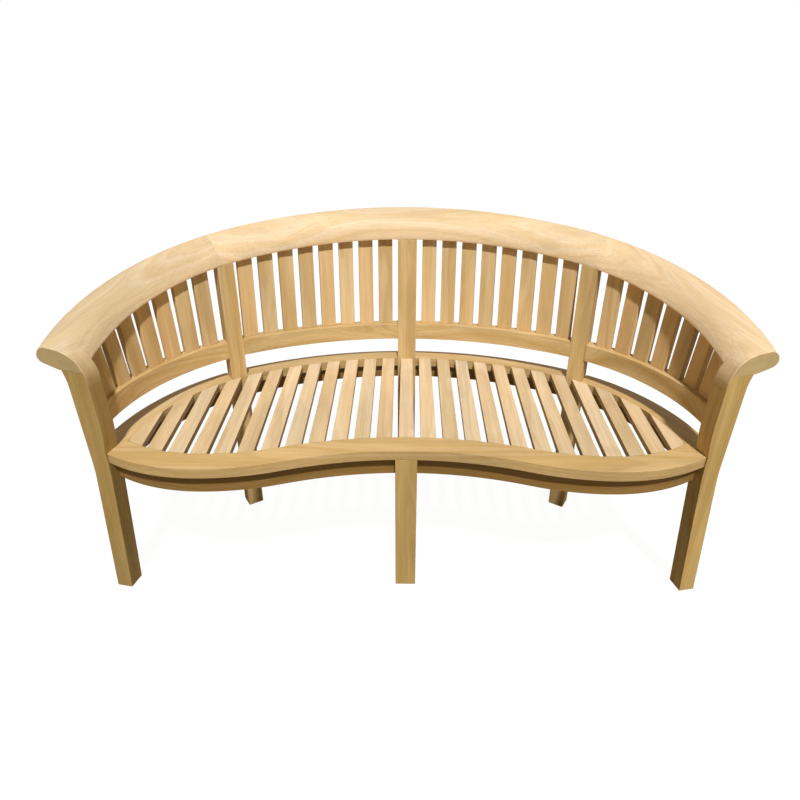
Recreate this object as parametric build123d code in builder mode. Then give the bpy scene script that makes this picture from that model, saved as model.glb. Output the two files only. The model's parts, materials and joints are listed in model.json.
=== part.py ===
from build123d import *
from math import asin, cos, degrees, radians, sin, tan
import os

# Curved garden bench in teak: slatted seat with a waved front, slatted back that
# wraps round into the arms, six legs, all joined with tenons.
# Millimetres, +Z up. The sitter faces -Y. The origin lies on the floor under the
# middle of the bench's outline.

# Seat
seat_height = 430.0
seat_depth = 494.0
board_thickness = 27.0
seat_slat_count = 25
seat_slat_width = 38.0
seat_slat_thickness = 15.0
seat_slat_pitch = 54.4
seat_slat_fan = 0.47
slat_tongue_length = 12.0
slat_tongue_width = 24.0
slat_tongue_thickness = 7.0
bearer_width = 28.0
bearer_height = 36.0
bearer_tongue_height = 12.0
bearer_post_overlap = 11.5
bearer_tongue_overlap = 3.0

# Waved front board: hollow in the middle, a nose at each side
wave_middle_radius = 950.0
wave_shoulder_radius = 521.0
wave_nose_radius = 360.0
wave_turn = 19.0
wave_end_turn = 46.0
wave_inset = 4.0
front_board_width = 62.0

# Rear arch of the seat, seen from above, at the front edge of the rear boards
rear_middle_radius = 884.0
rear_side_radius = 454.0
rear_bend = 30.4
rear_board_width = 60.0
arm_station = 90.0
arch_end_station = 96.0
back_lean = 6.5

# Aprons under the seat boards
apron_thickness = 22.0
front_apron_height = 50.0
front_apron_setback = 19.0
front_tongue_setback = 2.0
front_tongue_thickness = 6.5
rear_apron_height = 44.0
rear_apron_setback = 14.0

# Back
lower_rail_gap = 64.0
lower_rail_height = 46.0
lower_rail_depth = 39.0
lower_rail_side_radius = 473.0
back_slat_width = 43.0
back_slat_thickness = 15.0
back_slat_setback = 19.0
back_slat_turn_start = 31.0
back_slat_turn_share = 1.3
back_slat_tenon_width = 31.0
back_slat_tenon_thickness = 8.0
back_slat_tenon_length = 14.0
side_bay_slat_count = 7
middle_bay_slat_count = 8

# Crown, the sloping top rail that ends in the arms
crown_front_height = 658.0
crown_slope = 14.6
crown_depth = 556.0
crown_middle_radius = 874.0
crown_side_radius = 500.0
crown_bend = 31.5
crown_width = 103.0
crown_middle_height = 66.0
crown_end_height = 46.0
crown_joint = 39.5
crown_section_spacing = 5.0
crown_chord_count = 4
crown_overrun_station = 103.0
crown_lip_share = 0.1
crown_rise_shares = (0.2, 0.64)
crown_crest_share = 0.68
crown_brow_shares = (0.93, 0.86)
crown_nose_share = 0.55
crown_chin_shares = (0.975, 0.36)
crown_heel_shares = (0.88, 0.22)
crown_sole_share = 0.57

# Legs and posts
end_leg_size = 42.0
end_leg_x = 696.5
end_leg_y = -82.0
end_leg_turn = 10.7
end_leg_splay = 40.0
end_leg_knee_drop = 50.0
end_leg_bend_radius = 400.0
front_leg_size = 53.0
side_post_size = 46.0
side_post_station = 38.3
side_post_turn = 33.0
side_post_sideways_lean = 1.3
side_post_setback = 1.0
middle_post_width = 57.0
middle_post_depth = 46.0
middle_post_proud = 4.0
post_lean = 6.8

# Tenons
tenon_length = 18.0
leg_tenon_length = 6.0
tenon_thickness = 12.0
tenon_shoulder = 6.0
crown_tenon_height = 22.0
crown_tenon_shoulder = 13.0
end_tenon_inset = 24.0
end_tenon_width = 14.0
overrun = 60.0

# Outline of the whole bench, measured from the line on which the seat slats are set out
wave_start_y = wave_inset - wave_middle_radius
front_reach = (
    (wave_shoulder_radius + front_board_width)
    - wave_start_y
    - (wave_middle_radius + wave_shoulder_radius) * cos(radians(wave_turn))
)
crown_reach = (crown_depth + crown_chin_shares[0] * crown_width) * cos(radians(crown_slope))
crown_drop = crown_chin_shares[1] * crown_middle_height * sin(radians(crown_slope))
back_reach = crown_reach - crown_drop
setting_out_y = (front_reach - back_reach) / 2

board_underside = seat_height - board_thickness
slat_underside = seat_height - seat_slat_thickness
lower_rail_bottom = seat_height + lower_rail_gap
lower_rail_top = lower_rail_bottom + lower_rail_height

crown_plane = Plane(
    origin=(0, setting_out_y, crown_front_height),
    x_dir=(1, 0, 0),
    z_dir=(0, -sin(radians(crown_slope)), cos(radians(crown_slope))),
)


def level(z):
    """Horizontal plane at height z, with its origin on the setting-out line."""
    return Plane.XY.offset(z).move(Location((0, setting_out_y, 0)))


class Arch:
    """Three tangent arcs. A station is the angle that the arch's normal makes with +Y."""

    def __init__(self, middle_radius, side_radius, bend, depth):
        self.middle_radius = middle_radius
        self.side_radius = side_radius
        self.bend = bend
        self.depth = depth

    def centre(self, station):
        """Centre of the arc that holds a station."""
        middle = Vector(0, self.depth - self.middle_radius)
        if abs(station) <= self.bend:
            return middle
        side = self.bend if station > 0 else -self.bend
        return middle + self.normal(side) * (self.middle_radius - self.side_radius)

    def radius(self, station):
        """Radius of the arc that holds a station."""
        return self.middle_radius if abs(station) <= self.bend else self.side_radius

    def normal(self, station):
        """Direction that points out of the arch."""
        return Vector(sin(radians(station)), cos(radians(station)))

    def point(self, station, reach=0):
        """Point at a station, a distance out from the arch."""
        return self.centre(station) + self.normal(station) * (self.radius(station) + reach)

    def edges(self, start, end, reach):
        """Arcs from one station to another, in the open line."""
        bends = [bend for bend in (-self.bend, self.bend) if min(start, end) < bend < max(start, end)]
        stations = [start] + sorted(bends, reverse=start > end) + [end]
        for first, last in zip(stations, stations[1:]):
            middle = (first + last) / 2
            centre = self.centre(middle)
            radius = self.radius(middle) + reach
            ThreePointArc(*(centre + self.normal(turn) * radius for turn in (first, middle, last)))

    def band(self, plane, start, end, inner, outer):
        """Face between two reaches and two stations."""
        with BuildSketch(plane) as face:
            with BuildLine():
                self.edges(start, end, inner)
                Line(self.point(end, inner), self.point(end, outer))
                self.edges(end, start, outer)
                Line(self.point(start, outer), self.point(start, inner))
            make_face()
        return face.sketch


rear_arch = Arch(rear_middle_radius, rear_side_radius, rear_bend, seat_depth)
lower_rail_arch = Arch(rear_middle_radius, lower_rail_side_radius, rear_bend, seat_depth)
crown_arch = Arch(crown_middle_radius, crown_side_radius, crown_bend, crown_depth)


def wave_points(shift, side, end_turn=wave_end_turn):
    """Ends and middles of the three arcs on one side of the wave, moved out by shift."""
    turn = radians(wave_turn)
    end = radians(end_turn)
    middle = wave_middle_radius - shift
    shoulder = wave_shoulder_radius + shift
    nose = wave_nose_radius + shift
    both = wave_middle_radius + wave_shoulder_radius
    shoulder_y = wave_start_y + both * cos(turn)
    nose_y = shoulder_y - wave_shoulder_radius + wave_nose_radius
    bulge_x = both * sin(turn)
    inward = [(middle * sin(a), wave_start_y + middle * cos(a)) for a in (0, turn / 2)]
    across = [(bulge_x - shoulder * sin(a), shoulder_y - shoulder * cos(a)) for a in (turn, turn / 2)]
    outward = [(bulge_x + nose * sin(a), nose_y - nose * cos(a)) for a in (0, end / 2, end)]
    return [(side * x, y) for x, y in inward + across + outward]


def wave_edge(shift, side, outward, end_turn=wave_end_turn):
    """One side of the wave as three arcs in the open line."""
    points = wave_points(shift, side, end_turn)
    arcs = [points[0:3], points[2:5], points[4:7]]
    if not outward:
        arcs = [arc[::-1] for arc in arcs[::-1]]
    for arc in arcs:
        ThreePointArc(*arc)


def wave_band(plane, inner, outer, side, end_turn=wave_end_turn):
    """Half of a strip that follows the wave, from the middle to one end."""
    inner_points = wave_points(inner, side, end_turn)
    outer_points = wave_points(outer, side, end_turn)
    with BuildSketch(plane) as face:
        with BuildLine():
            wave_edge(inner, side, True, end_turn)
            Line(inner_points[-1], outer_points[-1])
            wave_edge(outer, side, False, end_turn)
            Line(outer_points[0], inner_points[0])
        make_face()
    return face.sketch


def seat_well(plane, grow):
    """Region between the front board and the rear boards, grown by a distance."""
    front_left, front_right = (wave_points(grow, side)[-1] for side in (-1, 1))
    rear_left, rear_right = (rear_arch.point(side * arm_station, grow) for side in (-1, 1))
    with BuildSketch(plane) as face:
        with BuildLine():
            wave_edge(grow, -1, False)
            wave_edge(grow, 1, True)
            back_y = seat_depth + rear_board_width
            Polyline(front_right, (front_right[0], back_y), (front_left[0], back_y), front_left)
        make_face()
        with BuildLine():
            rear_arch.edges(-arm_station, arm_station, grow)
            front_y = -seat_depth
            Polyline(rear_right, (rear_right.X, front_y), (rear_left.X, front_y), rear_left)
        make_face(mode=Mode.INTERSECT)
    return face.sketch


def lean_reach(z):
    """How far the back has leaned out at a height."""
    return (z - seat_height) * tan(radians(back_lean))


# Legs and posts

def end_leg_plane(side):
    """Upright plane at the front inner corner of an end leg, x out to the side, z backwards."""
    turn = radians(end_leg_turn)
    return Plane(
        origin=(side * end_leg_x, setting_out_y + end_leg_y, seat_height),
        x_dir=(side * cos(turn), sin(turn), 0),
        z_dir=(-side * sin(turn), cos(turn), 0),
    )


def end_leg_outline(side):
    """Front view of an end leg: upright above the seat, splayed below it."""
    plane = end_leg_plane(side)
    up = 1 if plane.y_dir.Z > 0 else -1
    with BuildSketch(plane) as face:
        with BuildLine():
            Polyline(
                (0, up * (crown_front_height - seat_height + overrun)),
                (0, -up * end_leg_knee_drop),
                (end_leg_splay, -up * seat_height),
                (end_leg_splay + end_leg_size, -up * seat_height),
                (end_leg_size, -up * end_leg_knee_drop),
                (end_leg_size, up * (crown_front_height - seat_height + overrun)),
                close=True,
            )
        make_face()
        fillet(face.vertices().sort_by(Axis.Y)[2:4], end_leg_bend_radius)
    return face.sketch


class Post:
    """A leaning rear post, set by the middle of its front face at seat height."""

    def __init__(self, foot, turn, sideways_lean, width, depth):
        self.width = width
        self.depth = depth
        axis = Vector(tan(radians(sideways_lean)), tan(radians(post_lean)), 1)
        along = Vector(cos(radians(turn)), -sin(radians(turn)), 0)
        self.plane = Plane(
            origin=(foot.X, foot.Y + setting_out_y, seat_height),
            x_dir=along - axis * (along.dot(axis) / axis.dot(axis)),
            z_dir=axis,
        )

    def face(self, side):
        """Plane of a side face, pointing away from the post."""
        out = self.plane.x_dir * side
        return Plane(origin=self.plane.origin + out * (self.width / 2), z_dir=out)

    def outline(self, shoulder=0):
        """Section across the post, or across a tenon cut in from it by a shoulder."""
        with BuildSketch(self.plane) as face:
            with Locations((0, self.depth / 2)):
                Rectangle(self.width - 2 * shoulder, self.depth - 2 * shoulder)
        return face.sketch


middle_post_foot = rear_arch.point(0, -middle_post_proud)
middle_post = Post(middle_post_foot, 0, 0, middle_post_width, middle_post_depth)
side_posts = {
    side: Post(
        rear_arch.point(side * side_post_station, side_post_setback),
        side * side_post_turn,
        side * side_post_sideways_lean,
        side_post_size,
        side_post_size,
    )
    for side in (-1, 1)
}
side_names = {-1: "left", 1: "right"}


def post_blank(post):
    """A post from the floor to the crown, without its tenon."""
    with BuildPart() as blank:
        extrude(to_extrude=post.outline(), amount=crown_front_height, both=True)
        split(bisect_by=Plane.XY, keep=Keep.TOP)
        split(bisect_by=crown_plane, keep=Keep.BOTTOM)
    return blank.part


def post_tenon(post):
    """The tenon on top of a post."""
    with BuildPart() as tenon:
        extrude(to_extrude=post.outline(crown_tenon_shoulder), amount=crown_front_height)
        split(bisect_by=crown_plane, keep=Keep.TOP)
        split(bisect_by=crown_plane.offset(crown_tenon_height), keep=Keep.BOTTOM)
    return tenon.part


def end_leg_blank(side):
    """An end leg from the floor to the crown."""
    with BuildPart() as blank:
        extrude(to_extrude=end_leg_outline(side), amount=end_leg_size)
        split(bisect_by=crown_plane, keep=Keep.BOTTOM)
    return blank.part


def end_leg_tenon(side):
    """The tenon on top of an end leg."""
    with BuildPart() as tenon:
        with BuildSketch(level(crown_front_height - overrun)) as face:
            corner = end_leg_plane(side)
            middle = corner.from_local_coords((end_tenon_inset + end_tenon_width / 2, 0, end_leg_size / 2))
            with Locations(Location((middle.X, middle.Y - setting_out_y), side * end_leg_turn)):
                Rectangle(end_tenon_width, end_leg_size - 2 * crown_tenon_shoulder)
        extrude(amount=2 * overrun)
        split(bisect_by=crown_plane, keep=Keep.TOP)
        split(bisect_by=crown_plane.offset(crown_tenon_height), keep=Keep.BOTTOM)
    return tenon.part


post_blanks = {
    "middle": post_blank(middle_post),
    "left": post_blank(side_posts[-1]),
    "right": post_blank(side_posts[1]),
}
leg_blanks = {side_names[side]: end_leg_blank(side) for side in (-1, 1)}
crown_tenons = {
    "middle": post_tenon(middle_post),
    "left": post_tenon(side_posts[-1]),
    "right": post_tenon(side_posts[1]),
    "left_end": end_leg_tenon(-1),
    "right_end": end_leg_tenon(1),
}

with BuildPart() as front_leg_blank:
    front_face_y = wave_points(front_board_width, 1)[0][1]
    with BuildSketch(level(0)):
        with Locations((0, front_face_y + front_leg_size / 2)):
            Rectangle(front_leg_size, front_leg_size)
    extrude(amount=board_underside)

with BuildPart() as front_leg_tenon:
    with BuildSketch(level(board_underside)):
        with Locations((0, front_face_y + front_leg_size / 2)):
            Rectangle(front_leg_size - 2 * tenon_shoulder, front_leg_size - 2 * tenon_shoulder)
    extrude(amount=board_thickness / 2)


# Back slats and their tenons

def angle_of(length, radius):
    """Angle that an arc of a length takes up, in degrees."""
    return degrees(length / radius)


middle_post_half = angle_of(middle_post_width / 2, rear_middle_radius)
side_post_half = angle_of(side_post_size / 2, rear_side_radius)
bays = {
    "left_side": (-arm_station, -side_post_station - side_post_half, side_bay_slat_count),
    "left_middle": (-side_post_station + side_post_half, -middle_post_half, middle_bay_slat_count),
    "right_middle": (middle_post_half, side_post_station - side_post_half, middle_bay_slat_count),
    "right_side": (side_post_station + side_post_half, arm_station, side_bay_slat_count),
}


def arc_length(station):
    """Length of the rear arch from the middle to a station."""
    side = -1 if station < 0 else 1
    inner = min(abs(station), rear_bend)
    outer = abs(station) - inner
    return side * (radians(inner) * rear_middle_radius + radians(outer) * rear_side_radius)


def station_at(length):
    """Station at a length along the rear arch."""
    side = -1 if length < 0 else 1
    bend_length = radians(rear_bend) * rear_middle_radius
    inner = min(abs(length), bend_length)
    outer = abs(length) - inner
    return side * (angle_of(inner, rear_middle_radius) + angle_of(outer, rear_side_radius))


def bay_stations(bay):
    """Stations of a bay's slats, with equal gaps between them and at both ends."""
    start, end, count = bays[bay]
    first, last = arc_length(start), arc_length(end)
    gap = (last - first - count * back_slat_width) / (count + 1)
    pitch = gap + back_slat_width
    return [station_at(first + gap + back_slat_width / 2 + pitch * i) for i in range(count)]


def back_slat_turn(station):
    """Direction in which a slat leans: straight back in the middle, outwards along the arms."""
    side = -1 if station < 0 else 1
    return side * back_slat_turn_share * max(abs(station) - back_slat_turn_start, 0)


def back_slat_prism(station, width, thickness):
    """An endless slat or tenon at a station, leaning back from where it stands on the rail."""
    normal = rear_arch.normal(station)
    way = rear_arch.normal(back_slat_turn(station))
    lean = tan(radians(back_lean))
    axis = Vector(way.X * lean, way.Y * lean, 1)
    along = Vector(normal.Y, -normal.X)
    reach = back_slat_setback + back_slat_thickness / 2 + lean_reach(lower_rail_top)
    centre = rear_arch.point(station, reach)
    plane = Plane(
        origin=(centre.X, centre.Y + setting_out_y, lower_rail_top),
        x_dir=along - axis * (along.dot(axis) / axis.dot(axis)),
        z_dir=axis,
    )
    with BuildPart() as prism:
        with BuildSketch(plane):
            Rectangle(width, thickness)
        extrude(amount=crown_front_height, both=True)
    return prism.part


def back_slat_tenon(station, top):
    """The tenon at one end of a back slat."""
    with BuildPart() as tenon:
        add(back_slat_prism(station, back_slat_tenon_width, back_slat_tenon_thickness))
        if top:
            split(bisect_by=crown_plane, keep=Keep.TOP)
            split(bisect_by=crown_plane.offset(back_slat_tenon_length), keep=Keep.BOTTOM)
        else:
            split(bisect_by=Plane.XY.offset(lower_rail_top), keep=Keep.BOTTOM)
            split(bisect_by=Plane.XY.offset(lower_rail_top - back_slat_tenon_length), keep=Keep.TOP)
    return tenon.part


def back_slat(station):
    """A back slat from the lower rail to the crown, with its tenons."""
    with BuildPart() as slat:
        add(back_slat_prism(station, back_slat_width, back_slat_thickness))
        split(bisect_by=Plane.XY.offset(lower_rail_top), keep=Keep.TOP)
        split(bisect_by=crown_plane, keep=Keep.BOTTOM)
        add(back_slat_tenon(station, False))
        add(back_slat_tenon(station, True))
    return slat.part


parts = {}

for bay in bays:
    slats = [back_slat(station) for station in bay_stations(bay)]
    with BuildPart() as back_slats:
        for slat in slats:
            add(slat)
    parts[f"back_slats_{bay}"] = back_slats.part


# Rails between the posts. Each is a band with a thinner tongue that enters the posts.

def leaning_band(start, end, bottom, top, inner, outer):
    """Solid that follows the lower rail's arch and leans with the back."""
    low, high = lean_reach(bottom), lean_reach(top)
    sections = [
        lower_rail_arch.band(level(bottom), start, end, inner + low, outer + low),
        lower_rail_arch.band(level(top), start, end, inner + high, outer + high),
    ]
    with BuildPart() as band:
        loft(sections=sections, ruled=True)
    return band.part


def upright_band(start, end, bottom, top, inner, outer):
    """Solid that follows the arch with upright faces."""
    with BuildPart() as band:
        extrude(to_extrude=rear_arch.band(level(bottom), start, end, inner, outer), amount=top - bottom)
    return band.part


def leg_back_plane(side):
    """Plane of an end leg's back face, pointing backwards."""
    return end_leg_plane(side).offset(end_leg_size)


def leg_side_plane(side):
    """Plane of an end leg's inner face above the seat, pointing out to the side."""
    corner = end_leg_plane(side)
    return Plane(origin=corner.origin, z_dir=corner.x_dir)


def bay_ends(bay):
    """Stations inside the uprights at the two ends of a bay."""
    side = -1 if bay.startswith("left") else 1
    stations = (0, side_post_station) if bay.endswith("middle") else (side_post_station, arch_end_station)
    return sorted(side * station for station in stations)


def bay_faces(bay):
    """Faces of the uprights that a bay's rails butt against, with the depth of their mortises."""
    side = -1 if bay.startswith("left") else 1
    if bay.endswith("middle"):
        return [(middle_post.face(side), tenon_length), (side_posts[side].face(-side), tenon_length)]
    return [(side_posts[side].face(side), tenon_length), (leg_back_plane(side), leg_tenon_length)]


def bay_rail(bay, shape, bottom, top, inner, outer):
    """A rail of one bay, cut off square at the uprights, and the tongue that runs through it."""
    start, end = bay_ends(bay)
    middle = (inner + outer) / 2
    half = tenon_thickness / 2
    with BuildPart() as rail:
        add(shape(start, end, bottom, top, inner, outer))
        for face, _ in bay_faces(bay):
            split(bisect_by=face, keep=Keep.TOP)
    with BuildPart() as tongue:
        add(shape(start, end, bottom + tenon_shoulder, top - tenon_shoulder, middle - half, middle + half))
        for face, depth in bay_faces(bay):
            split(bisect_by=face.offset(-depth), keep=Keep.TOP)
    return rail.part, tongue.part


# Seat slats and the tongues at their ends

def seat_slat_strip(index, width, bottom, thickness, grow):
    """A slat's strip of the seat, or its tongue, between the boards."""
    with BuildPart() as strip:
        with BuildSketch(level(bottom)):
            add(seat_well(Plane.XY, grow))
            with Locations(Location((index * seat_slat_pitch, 0), -index * seat_slat_fan)):
                Rectangle(width, 4 * seat_depth, mode=Mode.INTERSECT)
        extrude(amount=thickness)
        for blank in post_blanks.values():
            add(blank, mode=Mode.SUBTRACT)
    return strip.part


half_count = seat_slat_count // 2
slat_tongue_bottom = slat_underside + (seat_slat_thickness - slat_tongue_thickness) / 2
slat_tongues = []
for number in range(seat_slat_count):
    index = number - half_count
    tongue = seat_slat_strip(
        index, slat_tongue_width, slat_tongue_bottom, slat_tongue_thickness, slat_tongue_length
    )
    slat_tongues.append(tongue)
    with BuildPart() as seat_slat:
        add(seat_slat_strip(index, seat_slat_width, slat_underside, seat_slat_thickness, 0))
        add(tongue)
    parts[f"seat_slat_{number + 1:02d}"] = seat_slat.part


# Rails of each bay

rail_tongues = []
rail_sizes = {
    "rear_board": (upright_band, board_underside, seat_height, 0, rear_board_width),
    "rear_apron": (
        upright_band,
        board_underside - rear_apron_height,
        board_underside,
        rear_apron_setback,
        rear_apron_setback + apron_thickness,
    ),
    "lower_back_rail": (leaning_band, lower_rail_bottom, lower_rail_top, 0, lower_rail_depth),
}
with BuildPart() as front_board_blank:
    for side in (-1, 1):
        face = wave_band(level(board_underside), 0, front_board_width, side)
        extrude(to_extrude=face, amount=board_thickness)
    for side in (-1, 1):
        split(bisect_by=leg_side_plane(side), keep=Keep.BOTTOM)

for bay in bays:
    for rail_name, sizes in rail_sizes.items():
        band, tongue = bay_rail(bay, *sizes)
        rail_tongues.append(tongue)
        with BuildPart() as rail:
            add(band)
            if rail_name == "rear_board":
                add(front_board_blank.part, mode=Mode.SUBTRACT)
                for slat_tongue in slat_tongues:
                    add(slat_tongue, mode=Mode.SUBTRACT)
            add(tongue)
            if rail_name == "lower_back_rail":
                for station in bay_stations(bay):
                    add(back_slat_tenon(station, False), mode=Mode.SUBTRACT)
        parts[f"{rail_name}_{bay}"] = rail.part


# Front aprons

apron_inner = front_board_width - front_apron_setback - apron_thickness
apron_outer = front_board_width - front_apron_setback
apron_bottom = board_underside - front_apron_height
tongue_outer = apron_outer - front_tongue_setback
tongue_inner = tongue_outer - front_tongue_thickness
bulge_x = (wave_middle_radius + wave_shoulder_radius) * sin(radians(wave_turn))
tongue_radius = wave_nose_radius + (tongue_inner + tongue_outer) / 2
apron_end_turn = degrees(asin((end_leg_x - bulge_x) / tongue_radius))
for side in (-1, 1):
    rear_apron = parts[f"rear_apron_{side_names[side]}_side"]
    with BuildPart() as front_apron:
        face = wave_band(level(apron_bottom), apron_inner, apron_outer, side, apron_end_turn)
        extrude(to_extrude=face, amount=front_apron_height)
        split(bisect_by=leg_side_plane(side), keep=Keep.BOTTOM)
        add(leg_blanks[side_names[side]], mode=Mode.SUBTRACT)
        add(front_leg_blank.part, mode=Mode.SUBTRACT)
        add(rear_apron, mode=Mode.SUBTRACT)
    with BuildPart() as apron_tongue:
        face = wave_band(
            level(apron_bottom + tenon_shoulder), tongue_inner, tongue_outer, side, apron_end_turn
        )
        extrude(to_extrude=face, amount=front_apron_height - 2 * tenon_shoulder)
        with BuildSketch(level(0)):
            Rectangle(front_leg_size - 2 * tenon_length, 4 * seat_depth)
        extrude(amount=seat_height, mode=Mode.SUBTRACT)
        add(rear_apron, mode=Mode.SUBTRACT)
    rail_tongues.append(apron_tongue.part)
    with BuildPart() as front_apron_whole:
        add(front_apron.part)
        add(apron_tongue.part)
    parts[f"front_apron_{side_names[side]}"] = front_apron_whole.part


# Bearer under the middle slat


def bearer_bar(width, bottom, height, start_y, end_y):
    """Straight bar on the middle line from one Y to another."""
    with BuildPart() as bar:
        with BuildSketch(level(bottom)):
            with Locations((0, (start_y + end_y) / 2)):
                Rectangle(width, end_y - start_y)
        extrude(amount=height)
    return bar.part


bearer_bottom = slat_underside - bearer_height
bearer_start_y = front_face_y + front_leg_size
bearer_tongue = bearer_bar(
    tenon_thickness,
    bearer_bottom + tenon_shoulder,
    bearer_tongue_height,
    bearer_start_y - tenon_length,
    middle_post_foot.Y + bearer_tongue_overlap,
)
rail_tongues.append(bearer_tongue)
with BuildPart() as centre_bearer:
    add(
        bearer_bar(
            bearer_width,
            bearer_bottom,
            bearer_height,
            bearer_start_y,
            middle_post_foot.Y + bearer_post_overlap,
        )
    )
    add(front_board_blank.part, mode=Mode.SUBTRACT)
    add(post_blanks["middle"], mode=Mode.SUBTRACT)
    add(bearer_tongue)
parts["centre_bearer"] = centre_bearer.part


# Front board, legs and posts with their mortises

with BuildPart() as front_board:
    add(front_board_blank.part)
    add(front_leg_tenon.part, mode=Mode.SUBTRACT)
    for slat_tongue in slat_tongues:
        add(slat_tongue, mode=Mode.SUBTRACT)
parts["front_board"] = front_board.part

with BuildPart() as centre_front_leg:
    add(front_leg_blank.part)
    add(front_leg_tenon.part)
    for tongue in rail_tongues:
        add(tongue, mode=Mode.SUBTRACT)
parts["centre_front_leg"] = centre_front_leg.part

for name in ("left", "right"):
    with BuildPart() as end_leg:
        add(leg_blanks[name])
        for tongue in rail_tongues:
            add(tongue, mode=Mode.SUBTRACT)
        add(crown_tenons[f"{name}_end"])
    parts[f"front_leg_{name}"] = end_leg.part

for name in ("middle", "left", "right"):
    with BuildPart() as rear_post:
        add(post_blanks[name])
        for tongue in rail_tongues:
            add(tongue, mode=Mode.SUBTRACT)
        add(crown_tenons[name])
    parts[f"rear_post_{name}"] = rear_post.part


# Crown

crown_end_y = end_leg_y / cos(radians(crown_slope))


def crown_height(y):
    """Height of the crown's section at a distance up the slope."""
    share = (y - crown_end_y) / (crown_depth - crown_end_y)
    return crown_end_height + (crown_middle_height - crown_end_height) * share


def crown_section(station):
    """Section of the crown at a station: sole, lip, then rise, brow and chin, each of a few chords."""
    start = crown_arch.point(station)
    out = crown_arch.point(station, crown_width)
    origin = crown_plane.from_local_coords(Vector(start.X, start.Y, 0))
    outward = crown_plane.from_local_coords(Vector(out.X, out.Y, 0)) - origin
    plane = Plane(origin=origin, x_dir=outward, z_dir=outward.cross(crown_plane.z_dir))
    height = crown_height(start.Y)

    def at(shares):
        """Point from its shares of the width and the height."""
        return Vector(shares[0] * crown_width, shares[1] * height)

    lip, crest, nose = at((0, crown_lip_share)), at((crown_crest_share, 1)), at((1, crown_nose_share))
    heel, sole = at(crown_heel_shares), at((crown_sole_share, 0))
    corners = [sole, Vector(0, 0), lip]
    for first, shares, last in (
        (lip, crown_rise_shares, crest),
        (crest, crown_brow_shares, nose),
        (nose, crown_chin_shares, heel),
    ):
        arc = Edge.make_three_point_arc(first, at(shares), last)
        corners += [arc.position_at(i / crown_chord_count) for i in range(1, crown_chord_count + 1)]
    with BuildSketch(plane) as face:
        with BuildLine():
            Polyline(*corners, close=True)
        make_face()
    return face.sketch


def crown_loft(start, end):
    """Crown between two stations."""
    count = round(abs(end - start) / crown_section_spacing)
    step = (end - start) / count
    with BuildPart() as piece:
        loft(sections=[crown_section(start + step * i) for i in range(count + 1)], ruled=True)
    return piece.part


crown_pieces = {
    "left": (-crown_overrun_station, -crown_joint),
    "middle": (-crown_joint, crown_joint),
    "right": (crown_joint, crown_overrun_station),
}
for name, (start, end) in crown_pieces.items():
    with BuildPart() as crown:
        add(crown_loft(start, end))
        if name != "middle":
            side = -1 if name == "left" else 1
            split(bisect_by=end_leg_plane(side), keep=Keep.TOP)
        for tenon in crown_tenons.values():
            add(tenon, mode=Mode.SUBTRACT)
        for bay in bays:
            for station in bay_stations(bay):
                add(back_slat_tenon(station, True), mode=Mode.SUBTRACT)
    parts[f"top_rail_{name}"] = crown.part

os.makedirs("parts", exist_ok=True)
for name, part in parts.items():
    part.label = name
    export_step(part, f"parts/{name}.step")
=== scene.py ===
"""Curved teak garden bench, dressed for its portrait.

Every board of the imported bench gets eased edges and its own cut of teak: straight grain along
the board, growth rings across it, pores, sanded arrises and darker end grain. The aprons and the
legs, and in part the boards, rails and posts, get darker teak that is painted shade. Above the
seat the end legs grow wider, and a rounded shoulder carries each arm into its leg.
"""

import json
import logging
import math
import random
from dataclasses import dataclass, field
from enum import Enum
from functools import cached_property

import bmesh
import bpy
import numpy as np
from mathutils import Matrix, Vector
from mathutils.bvhtree import BVHTree
from mathutils.kdtree import KDTree

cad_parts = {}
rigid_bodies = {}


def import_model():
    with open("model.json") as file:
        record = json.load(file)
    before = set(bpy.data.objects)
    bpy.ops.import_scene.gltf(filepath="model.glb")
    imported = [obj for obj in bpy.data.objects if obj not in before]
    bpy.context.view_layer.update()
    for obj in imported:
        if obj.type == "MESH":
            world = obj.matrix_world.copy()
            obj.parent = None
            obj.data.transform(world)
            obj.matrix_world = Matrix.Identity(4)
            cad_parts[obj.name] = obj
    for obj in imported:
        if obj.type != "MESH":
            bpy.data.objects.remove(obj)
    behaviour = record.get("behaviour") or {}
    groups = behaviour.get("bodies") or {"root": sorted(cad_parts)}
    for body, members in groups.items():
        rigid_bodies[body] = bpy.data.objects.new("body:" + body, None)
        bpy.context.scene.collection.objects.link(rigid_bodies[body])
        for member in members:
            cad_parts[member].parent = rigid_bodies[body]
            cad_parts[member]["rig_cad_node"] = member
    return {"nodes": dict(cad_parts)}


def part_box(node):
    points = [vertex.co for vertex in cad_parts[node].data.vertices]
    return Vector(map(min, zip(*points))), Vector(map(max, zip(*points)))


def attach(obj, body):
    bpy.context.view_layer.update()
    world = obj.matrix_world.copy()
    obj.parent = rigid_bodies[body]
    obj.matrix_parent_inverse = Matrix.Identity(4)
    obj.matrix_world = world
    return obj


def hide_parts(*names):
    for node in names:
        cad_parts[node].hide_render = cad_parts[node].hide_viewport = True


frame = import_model()

LOG = logging.getLogger("bench")
Pair = tuple[float, float]
Triple = tuple[float, float, float]
Colour = Triple
UP = Vector((0.0, 0.0, 1.0))
WHITE = (1.0, 1.0, 1.0, 1.0)
MERGE_DISTANCE = 1e-5
TOUCH_DISTANCE = 2e-4
FLAT_ANGLE = math.radians(0.4)
SHARP_ANGLE = math.radians(34)
SMOOTH_ANGLE = math.radians(32)
FLAT_FACE_WEIGHT = 90
ROUND_PROFILE = 0.5
# The material number that marks a rounded arris until the grain is cut.
ARRIS_MARK = 1
MIX_COLOUR_INPUTS = (6, 7)
MIX_COLOUR_OUTPUT = 2
RANGE_VECTOR_INPUTS = (9, 10)


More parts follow.
